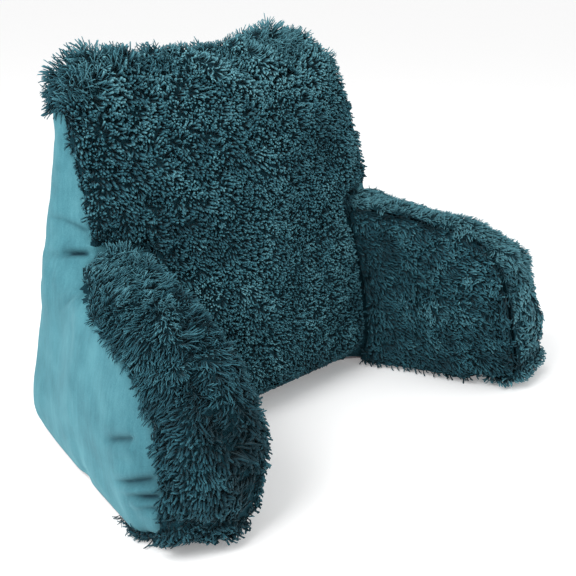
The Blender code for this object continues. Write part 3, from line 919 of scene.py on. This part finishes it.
def lockShape(kind, index, shelf):
    # one lock: three sides, three rings and a tip, bending over as it rises
    plan = lockPlans[kind]
    rng = np.random.default_rng(lockSeed + index)
    bend = rng.uniform(*plan["bend"])
    wave = rng.uniform(-0.10, 0.10)
    radius = plan["radius"] * rng.uniform(0.85, 1.15)
    build = bmesh.new()
    rings = []
    for height, wide in plan["rings"]:
        ring = []
        for k in range(3):
            turn = 2.0 * math.pi * k / 3.0 + height * 0.8 + index
            x = bend * lockLength * height ** 2 + radius * wide * math.cos(turn)
            y = wave * lockLength * math.sin(height * 3.0) + radius * wide * math.sin(turn)
            ring.append(build.verts.new((x, y, lockLength * height)))
        rings.append(ring)
    tip = build.verts.new((bend * lockLength * 1.02, wave * lockLength * math.sin(3.0),
                           lockLength * (1.0 - 0.25 * bend)))
    for low, high in zip(rings, rings[1:]):
        for k in range(3):
            build.faces.new((low[k], low[(k + 1) % 3], high[(k + 1) % 3], high[k]))
    for k in range(3):
        build.faces.new((rings[-1][k], rings[-1][(k + 1) % 3], tip))
    build.faces.new(rings[0][::-1])
    mesh = bpy.data.meshes.new(kind + str(index))
    build.to_mesh(mesh)
    build.free()
    # each ring's rise sets its painted shade, from the root up to the painted highlight at the tip
    heights = [plan["rise"][ring] for ring in range(3) for k in range(3)] + [plan["rise"][3]]
    keepNumbers(mesh, "rise", heights)
    for face in mesh.polygons:
        face.use_smooth = True
    shelf.objects.link(bpy.data.objects.new(kind + str(index), mesh))


shelves = {}
for kind in lockPlans:
    shelves[kind] = bpy.data.collections.new(kind + "Shelf")
    scene.collection.children.link(shelves[kind])
    for index in range(lockShapes):
        lockShape(kind, index, shelves[kind])


def growTree():
    tree = bpy.data.node_groups.new("growLocks", "GeometryNodeTree")
    face = tree.interface
    face.new_socket("Backing", in_out="INPUT", socket_type="NodeSocketGeometry")
    face.new_socket("Locks", in_out="INPUT", socket_type="NodeSocketCollection")
    face.new_socket("Cover", in_out="INPUT", socket_type="NodeSocketString")
    for label, start in (("Spacing", 0.003), ("Tuft Size", 0.006), ("Tuft Pull", 0.6), ("Bunch Pull", 0.2),
                         ("Thickness", 1.0), ("Lay", 1.0)):
        made = face.new_socket(label, in_out="INPUT", socket_type="NodeSocketFloat")
        made.default_value = start
    face.new_socket("Seed", in_out="INPUT", socket_type="NodeSocketInt")
    face.new_socket("Finish", in_out="INPUT", socket_type="NodeSocketMaterial")
    face.new_socket("Pile", in_out="OUTPUT", socket_type="NodeSocketGeometry")
    link = tree.links.new
    come = node(tree, "NodeGroupInput", -1600, 0)
    leave = node(tree, "NodeGroupOutput", 2200, 0)

    def named(label, kind, x, y):
        made = node(tree, "GeometryNodeInputNamedAttribute", x, y, data_type=kind)
        made.inputs["Name"].default_value = label
        return made.outputs["Attribute"]

    def vector(operation, x, y, *feeds):
        made = node(tree, "ShaderNodeVectorMath", x, y, operation=operation)
        for slot, feed in enumerate(feeds):
            socket = made.inputs["Scale"] if operation == "SCALE" and slot == 1 else made.inputs[slot]
            if isinstance(feed, tuple):
                socket.default_value = feed
            else:
                link(feed, socket)
        return made.outputs["Value"] if operation == "LENGTH" else made.outputs[0]

    def number(operation, x, y, *feeds):
        made = node(tree, "ShaderNodeMath", x, y, operation=operation)
        for slot, feed in enumerate(feeds):
            if isinstance(feed, float):
                made.inputs[slot].default_value = feed
            else:
                link(feed, made.inputs[slot])
        return made.outputs[0]

    scatter = node(tree, "GeometryNodeDistributePointsOnFaces", -1200, 200, distribute_method="POISSON")
    scatter.inputs["Density Max"].default_value = 400000.0
    link(come.outputs["Backing"], scatter.inputs["Mesh"])
    link(come.outputs["Spacing"], scatter.inputs["Distance Min"])
    link(come.outputs["Seed"], scatter.inputs["Seed"])
    share = node(tree, "GeometryNodeInputNamedAttribute", -1400, -100, data_type="FLOAT")
    link(come.outputs["Cover"], share.inputs["Name"])
    link(share.outputs["Attribute"], scatter.inputs["Density Factor"])

    place = node(tree, "GeometryNodeInputPosition", -1200, -300).outputs[0]
    cell = node(tree, "ShaderNodeTexVoronoi", -900, -300)
    link(place, cell.inputs["Vector"])
    link(number("DIVIDE", -1100, -450, 1.0, come.outputs["Tuft Size"]), cell.inputs["Scale"])
    bunch = node(tree, "ShaderNodeTexVoronoi", -900, -600)  # bigger tufts, a few small ones each
    link(place, bunch.inputs["Vector"])
    link(number("DIVIDE", -1100, -650, 0.38, come.outputs["Tuft Size"]), bunch.inputs["Scale"])
    lean = vector("SUBTRACT", -700, -600, cell.outputs["Color"], (0.5, 0.5, 0.5))
    sway = vector("SUBTRACT", -700, -700, bunch.outputs["Color"], (0.5, 0.5, 0.5))
    stray = node(tree, "FunctionNodeRandomValue", -900, -850, data_type="FLOAT_VECTOR")
    stray.inputs[0].default_value = (-1.0, -1.0, -1.0)
    stray.inputs[1].default_value = (1.0, 1.0, 1.0)
    loose = named("loose", "FLOAT", -900, -1050)
    reach = named("reach", "FLOAT", -900, -1200)
    comb = vector("SCALE", -700, -1350, named("comb", "FLOAT_VECTOR", -900, -1350), come.outputs["Lay"])
    lean = vector("SCALE", -500, -600, lean, number("MULTIPLY", -600, -700, loose, 2.0))
    sway = vector("SCALE", -500, -700, sway, number("MULTIPLY", -600, -780, loose, 1.8))
    stray = vector("SCALE", -500, -850, stray.outputs[0], number("MULTIPLY", -600, -950, loose, 0.80))
    drift = vector("ADD", -300, -300, vector("ADD", -400, -300, comb, lean), sway)
    drift = vector("ADD", -150, -300, drift, stray)
    way = vector("ADD", 0, -300, scatter.outputs["Normal"], drift)
    way = vector("NORMALIZE", 150, -300, way)
    way = vector("SCALE", 300, -300, way, reach)
    pull = vector("SUBTRACT", -500, -150, cell.outputs["Position"], place)
    pull = vector("SCALE", -300, -150, pull, come.outputs["Tuft Pull"])
    gather = vector("SUBTRACT", -500, 0, bunch.outputs["Position"], place)
    gather = vector("SCALE", -300, 0, gather, come.outputs["Bunch Pull"])
    way = vector("ADD", 450, -300, way, pull)
    way = vector("ADD", 500, -300, way, gather)
    chance = node(tree, "FunctionNodeRandomValue", 300, -600, data_type="FLOAT")
    chance.inputs[2].default_value = 0.82
    chance.inputs[3].default_value = 1.14
    tall = number("MULTIPLY", 600, -500, vector("LENGTH", 600, -400, way), chance.outputs[1])
    tall = number("DIVIDE", 750, -500, tall, lockLength)

    upright = node(tree, "FunctionNodeAlignRotationToVector", 650, -200, axis="Z")
    link(way, upright.inputs["Vector"])
    turned = node(tree, "FunctionNodeAlignRotationToVector", 850, -200, axis="X", pivot_axis="Z")
    link(upright.outputs[0], turned.inputs["Rotation"])
    link(drift, turned.inputs["Vector"])
    size = node(tree, "ShaderNodeCombineXYZ", 900, -450)
    link(come.outputs["Thickness"], size.inputs[0])
    link(come.outputs["Thickness"], size.inputs[1])
    link(tall, size.inputs[2])

    # the lock's tint: the backing's tone with its painted light and shade, spread per tuft and per lock
    tone = named("tone", "FLOAT", -200, 500)
    cellTint = node(tree, "ShaderNodeSeparateXYZ", -500, 400)
    link(cell.outputs["Color"], cellTint.inputs[0])
    tuft = number("MULTIPLY_ADD", -300, 400, cellTint.outputs[0], 0.20, -0.10)
    bunchTint = node(tree, "ShaderNodeSeparateXYZ", -500, 550)
    link(bunch.outputs["Color"], bunchTint.inputs[0])
    tuft = number("ADD", -150, 400, tuft, number("MULTIPLY_ADD", -300, 520, bunchTint.outputs[1], 0.18, -0.09))
    dust = node(tree, "FunctionNodeRandomValue", -300, 650, data_type="FLOAT")
    dust.inputs[2].default_value = -0.12
    dust.inputs[3].default_value = 0.16
    tint = node(tree, "ShaderNodeClamp", 200, 450)
    link(number("ADD", 100, 500, number("ADD", 0, 500, tone, tuft), dust.outputs[1]), tint.inputs[0])
    tint.inputs[1].default_value = 0.02
    tint.inputs[2].default_value = 0.98
    keep = node(tree, "GeometryNodeStoreNamedAttribute", 400, 300, data_type="FLOAT", domain="POINT")
    keep.inputs["Name"].default_value = "tint"
    link(scatter.outputs["Points"], keep.inputs["Geometry"])
    link(tint.outputs[0], keep.inputs["Value"])

    shelf = node(tree, "GeometryNodeCollectionInfo", 850, 100)
    shelf.inputs["Separate Children"].default_value = True
    shelf.inputs["Reset Children"].default_value = True
    link(come.outputs["Locks"], shelf.inputs["Collection"])
    plant = node(tree, "GeometryNodeInstanceOnPoints", 1150, 200)
    plant.inputs["Pick Instance"].default_value = True
    link(keep.outputs[0], plant.inputs["Points"])
    link(shelf.outputs[0], plant.inputs["Instance"])
    link(turned.outputs[0], plant.inputs["Rotation"])
    link(size.outputs[0], plant.inputs["Scale"])
    real = node(tree, "GeometryNodeRealizeInstances", 1400, 200)
    link(plant.outputs[0], real.inputs[0])
    spot = node(tree, "ShaderNodeCombineXYZ", 1400, -100)
    link(named("tint", "FLOAT", 1200, -100), spot.inputs[0])
    link(named("rise", "FLOAT", 1200, -250), spot.inputs[1])
    chart = node(tree, "GeometryNodeStoreNamedAttribute", 1650, 200, data_type="FLOAT2", domain="CORNER")
    chart.inputs["Name"].default_value = "OFBake"
    link(real.outputs[0], chart.inputs["Geometry"])
    link(spot.outputs[0], chart.inputs["Value"])
    dress = node(tree, "GeometryNodeSetMaterial", 1900, 200)
    link(chart.outputs[0], dress.inputs["Geometry"])
    link(come.outputs["Finish"], dress.inputs["Material"])
    link(dress.outputs[0], leave.inputs[0])
    return tree


growLocks = growTree()


def setInputs(modifier, given):
    for item in modifier.node_group.interface.items_tree:
        if item.item_type == "SOCKET" and item.in_out == "INPUT" and item.name in given:
            modifier[item.identifier] = given[item.name]


def dropNumbers(mesh):
    # the numbers that steer the pile have no use on a finished mesh
    for label in ("tint", "rise", "comb", "reach", "loose", "tone", "cover0", "cover1", "cover2", "cover3"):
        if label in mesh.attributes:
            mesh.attributes.remove(mesh.attributes[label])


bandLook = {"kind": "strand", "Spacing": 0.00148, "Tuft Size": 0.0062, "Tuft Pull": 0.46,
            "Bunch Pull": 0.16, "Thickness": 1.0, "Lay": 1.2}
mattedLook = {"kind": "curl", "Spacing": 0.00225, "Tuft Size": 0.0070, "Tuft Pull": 0.30,
              "Bunch Pull": 0.08, "Thickness": 0.90, "Lay": 0.8}
innerLook = {"kind": "curl", "Spacing": 0.00215, "Tuft Size": 0.0058, "Tuft Pull": 0.30,
             "Bunch Pull": 0.06, "Thickness": 0.82, "Lay": 1.1}
looseLook = {"kind": "stub", "Spacing": 0.00250, "Tuft Size": 0.0080, "Tuft Pull": 0.24,
             "Bunch Pull": 0.08, "Thickness": 1.08, "Lay": 0.8}
middleLook = {"kind": "stub", "Spacing": 0.00235, "Tuft Size": 0.0070, "Tuft Pull": 0.20,
              "Bunch Pull": 0.06, "Thickness": 0.95, "Lay": 0.7}
fineLook = {"kind": "stub", "Spacing": 0.00225, "Tuft Size": 0.0060, "Tuft Pull": 0.14,
            "Bunch Pull": 0.03, "Thickness": 0.82, "Lay": 0.5}
spikyLook = {"kind": "strand", "Spacing": 0.00142, "Tuft Size": 0.0058, "Tuft Pull": 0.62,
             "Bunch Pull": 0.15, "Thickness": 1.0, "Lay": 1.0}
zoneLooks = {
    "Front": (looseLook, middleLook, fineLook, spikyLook),
    "BandLeft": (bandLook, mattedLook),
    "BandRight": (bandLook, mattedLook),
    "InnerLeft": (innerLook,),
    "InnerRight": (innerLook,),
    "Corners": (spikyLook,),
}


def growPile(panel, backing):
    made = []
    for zone, look in enumerate(zoneLooks[panel["label"]]):
        label = "furPile" + panel["label"] + ("ABCD"[zone] if panel["zones"] > 1 else "")
        pile = bpy.data.objects.new(label, backing.data.copy())
        scene.collection.objects.link(pile)
        grow = pile.modifiers.new("grow", "NODES")
        grow.node_group = growLocks
        setInputs(grow, {**look, "Cover": "cover%d" % zone, "Locks": shelves[look["kind"]],
                         "Seed": pileSeed + zone, "Finish": furPile})
        settle(pile)
        mesh = pile.data
        dropNumbers(mesh)
        settleForm(mesh)  # also presses the pile flat where it meets the floor
        made.append(pile)
        print("reading pillow:", pile.name, "has", len(mesh.vertices) // lockPoints, "locks")
    return made


def seedCorners():
    # the cover carries locks too, where the shag hangs over the velour's edges
    seeds = bpy.data.objects.new("cornerSeeds", cornerMesh)
    scene.collection.objects.link(seeds)
    mesh = seeds.data
    count = len(mesh.vertices)
    comb = np.zeros((count, 3), np.float32)
    values = {label: np.zeros(count, np.float32) for label in ("reach", "loose", "tone", "cover0")}
    for v in mesh.vertices:
        p, n = v.co, v.normal
        side = -1.0 if p.x < 0.0 else 1.0
        way = Vector((side * 0.3, 0.1, -0.35 * (1.0 - ramp(p.z, 0.41, 0.44))))
        way += noise.noise_vector(p * 11.0) * 0.3
        comb[v.index] = way - n * way.dot(n)
        high = p.z > 0.3  # the top corners, not the foot or the shoulder
        if high:
            values["reach"][v.index] = (0.0155 if side < 0.0 else 0.0110) + 0.004 * ramp(p.z, 0.40, 0.43)
        else:
            values["reach"][v.index] = 0.0110 if p.z > 0.1 else 0.0075
        values["loose"][v.index] = 0.5
        # painted light on the top corners, painted shade at the foot and shoulder; the noise is the pile's own
        # tone
        values["tone"][v.index] = (0.56 if high else 0.32) + 0.10 * noise.noise(p * 14.0)
        values["cover0"][v.index] = cornerShare(p) * (1.0 - ramp(p.y, 0.175, 0.190))
    mesh.attributes.new("comb", "FLOAT_VECTOR", "POINT").data.foreach_set("vector", comb.ravel())
    for label, found in values.items():
        keepNumbers(mesh, label, found)
    return seeds


furPieces = []
for panel in panels:
    backing = buildBacking(panel)
    piles = growPile(panel, backing)
    dropNumbers(backing.data)
    settleForm(backing.data)
    furPieces.append((panel, backing, piles))

seeds = seedCorners()
cornerPile = growPile({"label": "Corners", "zones": 1}, seeds)[0]
bpy.data.objects.remove(seeds)

for shelf in shelves.values():
    for shape in list(shelf.objects):
        bpy.data.objects.remove(shape)
    bpy.data.collections.remove(shelf)


# Every piece rides on the one body.

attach(cover, "root")
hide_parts("backrest", "arm_left", "arm_right")
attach(cornerPile, "root")
for panel, backing, piles in furPieces:
    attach(backing, "root")
    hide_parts(panel["node"])
    for pile in piles:
        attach(pile, "root")
print("reading pillow: pieces in place")


# The studio: a pale floor, a soft key from the upper left and a wide fill.

cameraPlan = {
    "azimuth": -48.5,
    "elevation": 18.0,
    "distance": 1.266,
    "frame": 576.0,  # pixels across
    "focal": 1036.0,  # pixels
    "sensor": 36.0,
    "aim": (0.001, 0.162),
    "roll": 0.78,
}

lightPlan = {  # the lamps by power, size and place
    "world": 0.80,
    "key": (52.0, 1.3, (-1.9, -0.25, 1.9)),
    "fill": (8.0, 2.0, (1.8, -1.6, 1.4)),
    "aim": (0.0, 0.0, 0.18),
}


def placeCamera():
    turn, rise, roll = (math.radians(cameraPlan[k]) for k in ("azimuth", "elevation", "roll"))
    back = Vector((math.sin(turn) * math.cos(rise), -math.cos(turn) * math.cos(rise), math.sin(rise)))
    right = Vector((math.cos(turn), math.sin(turn), 0.0))
    up = back.cross(right)
    across = right * math.cos(roll) + up * math.sin(roll)
    upward = up * math.cos(roll) - right * math.sin(roll)
    aim = Vector((0.0, 0.0, cameraPlan["aim"][1])) + right * cameraPlan["aim"][0]
    lens = bpy.data.cameras.new("camera")
    lens.sensor_width = cameraPlan["sensor"]
    lens.lens = cameraPlan["focal"] / cameraPlan["frame"] * cameraPlan["sensor"]
    camera = bpy.data.objects.new("camera", lens)
    scene.collection.objects.link(camera)
    spot = aim + back * cameraPlan["distance"]
    camera.matrix_world = Matrix(((across.x, upward.x, back.x, spot.x), (across.y, upward.y, back.y, spot.y),
                                  (across.z, upward.z, back.z, spot.z), (0.0, 0.0, 0.0, 1.0)))
    scene.camera = camera


def softLight(label, power, size, spot):
    lamp = bpy.data.lights.new(label, "AREA")
    lamp.energy = power
    lamp.size = size
    held = bpy.data.objects.new(label, lamp)
    scene.collection.objects.link(held)
    held.location = spot
    held.rotation_euler = (Vector(spot) - Vector(lightPlan["aim"])).to_track_quat("Z", "Y").to_euler()


def layFloor():
    build = bmesh.new()
    bmesh.ops.create_grid(build, x_segments=1, y_segments=1, size=30.0)
    mesh = bpy.data.meshes.new("floor")
    build.to_mesh(mesh)
    build.free()
    floor = bpy.data.objects.new("floor", mesh)
    scene.collection.objects.link(floor)
    material, tree, shader = freshMaterial("palePaper")
    shader.inputs["Base Color"].default_value = (0.93, 0.93, 0.93, 1.0)
    shader.inputs["Roughness"].default_value = 0.9
    shader.inputs["Emission Color"].default_value = (1.0, 1.0, 1.0, 1.0)
    shader.inputs["Emission Strength"].default_value = 0.20
    mesh.materials.append(material)
    floor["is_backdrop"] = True


placeCamera()
layFloor()
for label in ("key", "fill"):
    softLight(label, *lightPlan[label])
air = bpy.data.worlds.new("studio")
air.use_nodes = True
glow = air.node_tree.nodes["Background"]
glow.inputs["Color"].default_value = (1.0, 1.0, 1.0, 1.0)
glow.inputs["Strength"].default_value = lightPlan["world"]
scene.world = air
scene.view_settings.view_transform = "Standard"
print("reading pillow: studio lit")

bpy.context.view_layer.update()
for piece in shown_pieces():
    print("reading pillow:", piece.name, sum(len(f.vertices) - 2 for f in piece.data.polygons), "triangles")
